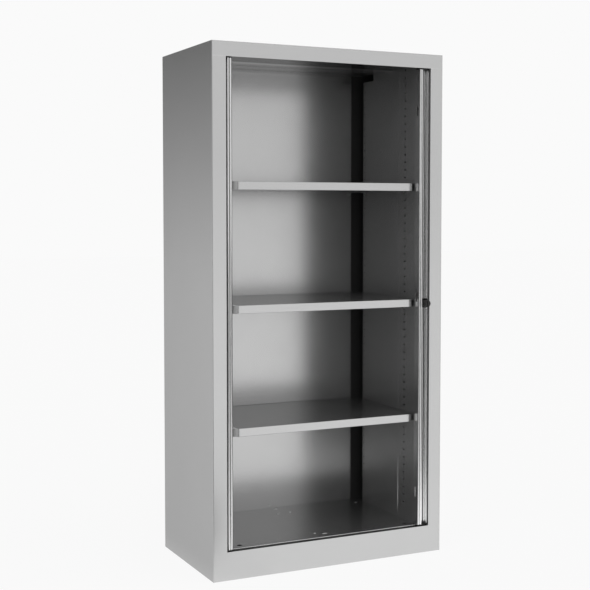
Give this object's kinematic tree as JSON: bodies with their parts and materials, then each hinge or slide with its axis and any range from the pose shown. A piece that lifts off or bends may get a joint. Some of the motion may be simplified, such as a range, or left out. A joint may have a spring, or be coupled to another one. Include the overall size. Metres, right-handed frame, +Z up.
{
  "type": "metal tambour door cabinet",
  "caption": "Tall steel cupboard with shelves, a plinth and slatted shutters that slide sideways into its sides.",
  "frame": {"origin": "on the floor, at the middle of the overall width and depth, knob included", "axes": "+Z up, -Y the open front, +X to the right as seen from the front"},
  "size_m": [0.99, 0.55, 2],
  "materials": {
    "cabinet_paint": "satin grey powder coat",
    "black_paint": "matt black",
    "zinc_steel": "zinc plated",
    "satin_aluminium": "satin anodised",
    "black_plastic": "moulded black",
    "curtain_slats": "extruded grey slats"
  },
  "bodies": {
    "carcass": {"left_side_panel": "cabinet_paint", "right_side_panel": "cabinet_paint", "top_panel": "cabinet_paint", "plinth_panel": "cabinet_paint", "base_pan": "cabinet_paint", "head_pan": "cabinet_paint", "floor_panel": "cabinet_paint", "ceiling_panel": "cabinet_paint", "back_panel": "cabinet_paint", "left_corner_post": "black_paint", "right_corner_post": "black_paint", "left_inner_panel": "cabinet_paint", "right_inner_panel": "cabinet_paint", "left_bottom_track": "black_plastic", "right_bottom_track": "black_plastic", "left_top_track": "black_plastic", "right_top_track": "black_plastic", "front_bottom_track": "black_plastic", "front_top_track": "black_plastic", "lower_shelf": "cabinet_paint", "middle_shelf": "cabinet_paint", "upper_shelf": "cabinet_paint", "shelf_clips": "zinc_steel", "inner_panel_screws": "zinc_steel", "foot_nuts": "zinc_steel", "left_curtain": "curtain_slats", "right_curtain": "curtain_slats"},
    "left_shutter": {"left_leading_profile": "satin_aluminium", "left_bottom_glider": "black_plastic", "left_top_glider": "black_plastic"},
    "right_shutter": {"right_leading_profile": "satin_aluminium", "right_bottom_glider": "black_plastic", "right_top_glider": "black_plastic", "lock_housing": "black_plastic", "hook_pins": "zinc_steel"},
    "lock_knob": {"lock_knob": "black_plastic", "lock_spindle": "zinc_steel"},
    "locking_bar": {"locking_bar": "zinc_steel"},
    "lower_hook": {"lower_hook": "zinc_steel"},
    "middle_hook": {"middle_hook": "zinc_steel"},
    "upper_hook": {"upper_hook": "zinc_steel"},
    "front_left_foot": {"front_left_foot": "zinc_steel"},
    "front_right_foot": {"front_right_foot": "zinc_steel"},
    "rear_left_foot": {"rear_left_foot": "zinc_steel"},
    "rear_right_foot": {"rear_right_foot": "zinc_steel"}
  },
  "joints": [
    {"name": "left_shutter_slide", "type": "slide", "parent": "carcass", "child": "left_shutter", "axis": [1, 0, 0], "range_m": [0, 0.413], "deforming": ["left_curtain"]},
    {"name": "right_shutter_slide", "type": "slide", "parent": "carcass", "child": "right_shutter", "axis": [-1, 0, 0], "range_m": [0, 0.391], "deforming": ["right_curtain"]},
    {"name": "lock_turn", "type": "hinge", "parent": "right_shutter", "child": "lock_knob", "pos_m": [0.426, -0.2555, 1.01], "axis": [0, 1, 0], "range_deg": [0, 90]},
    {"name": "locking_bar_slide", "type": "slide", "parent": "right_shutter", "child": "locking_bar", "axis": [0, 0, 1], "range_m": [0, 0.00707]},
    {"name": "lower_hook_turn", "type": "hinge", "parent": "right_shutter", "child": "lower_hook", "pos_m": [0.401, -0.239, 0.2608], "axis": [0, 1, 0], "range_deg": [0, 90]},
    {"name": "middle_hook_turn", "type": "hinge", "parent": "right_shutter", "child": "middle_hook", "pos_m": [0.401, -0.239, 1.0508], "axis": [0, 1, 0], "range_deg": [0, 90]},
    {"name": "upper_hook_turn", "type": "hinge", "parent": "right_shutter", "child": "upper_hook", "pos_m": [0.401, -0.239, 1.7918], "axis": [0, 1, 0], "range_deg": [0, 90]},
    {"name": "front_left_foot_screw", "type": "slide", "parent": "carcass", "child": "front_left_foot", "axis": [0, 0, -1], "range_m": [0, 0.015]},
    {"name": "front_right_foot_screw", "type": "slide", "parent": "carcass", "child": "front_right_foot", "axis": [0, 0, -1], "range_m": [0, 0.015]},
    {"name": "rear_left_foot_screw", "type": "slide", "parent": "carcass", "child": "rear_left_foot", "axis": [0, 0, -1], "range_m": [0, 0.015]},
    {"name": "rear_right_foot_screw", "type": "slide", "parent": "carcass", "child": "rear_right_foot", "axis": [0, 0, -1], "range_m": [0, 0.015]}
  ],
  "couplings": [
    {"joint": "lock_turn", "follows": "locking_bar_slide", "rad_per_m": 222.14},
    {"joint": "lower_hook_turn", "follows": "locking_bar_slide", "rad_per_m": 222.14},
    {"joint": "middle_hook_turn", "follows": "locking_bar_slide", "rad_per_m": 222.14},
    {"joint": "upper_hook_turn", "follows": "locking_bar_slide", "rad_per_m": 222.14}
  ]
}
